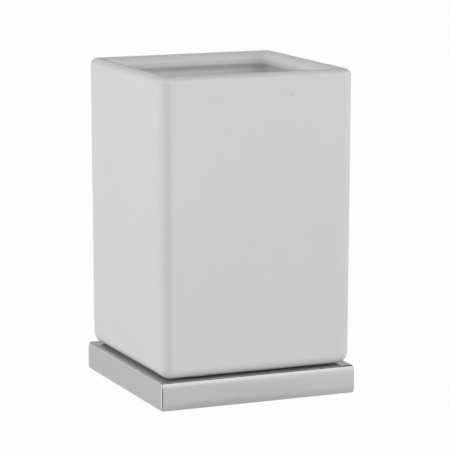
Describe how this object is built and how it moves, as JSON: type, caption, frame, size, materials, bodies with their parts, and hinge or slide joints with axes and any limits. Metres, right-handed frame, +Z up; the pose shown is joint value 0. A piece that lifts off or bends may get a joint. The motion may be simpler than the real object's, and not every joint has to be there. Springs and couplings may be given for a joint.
{
  "type": "bathroom tumbler",
  "caption": "Square white glazed ceramic bathroom tumbler with soft edges and a rounded lip, standing on a flat square chrome tray from which it lifts off.",
  "frame": {"origin": "on the surface the feet stand on, under the middle of the tray", "axes": "+Z up through the cup's mouth, -Y out of the side taken as the front, +X to its right"},
  "size_m": [0.0702, 0.0702, 0.1103],
  "materials": {
    "glazed_ceramic": "gloss white glaze, unglazed foot ring",
    "chrome_plate": "bright chrome plate on polished cast metal",
    "silicone_pad": "clear satin silicone",
    "rubber_foot": "matt moulded rubber"
  },
  "bodies": {
    "tray": {"base_tray": "chrome_plate", "seat_pad_front_left": "silicone_pad", "seat_pad_front_right": "silicone_pad", "seat_pad_back_left": "silicone_pad", "seat_pad_back_right": "silicone_pad", "foot_front_left": "rubber_foot", "foot_front_right": "rubber_foot", "foot_back_left": "rubber_foot", "foot_back_right": "rubber_foot"},
    "cup": {"tumbler_cup": "glazed_ceramic"}
  },
  "joints": [
    {"name": "tumbler_lift", "type": "slide", "parent": "tray", "child": "cup", "axis": [0, 0, 1], "range_m": [0, 0.06]}
  ]
}
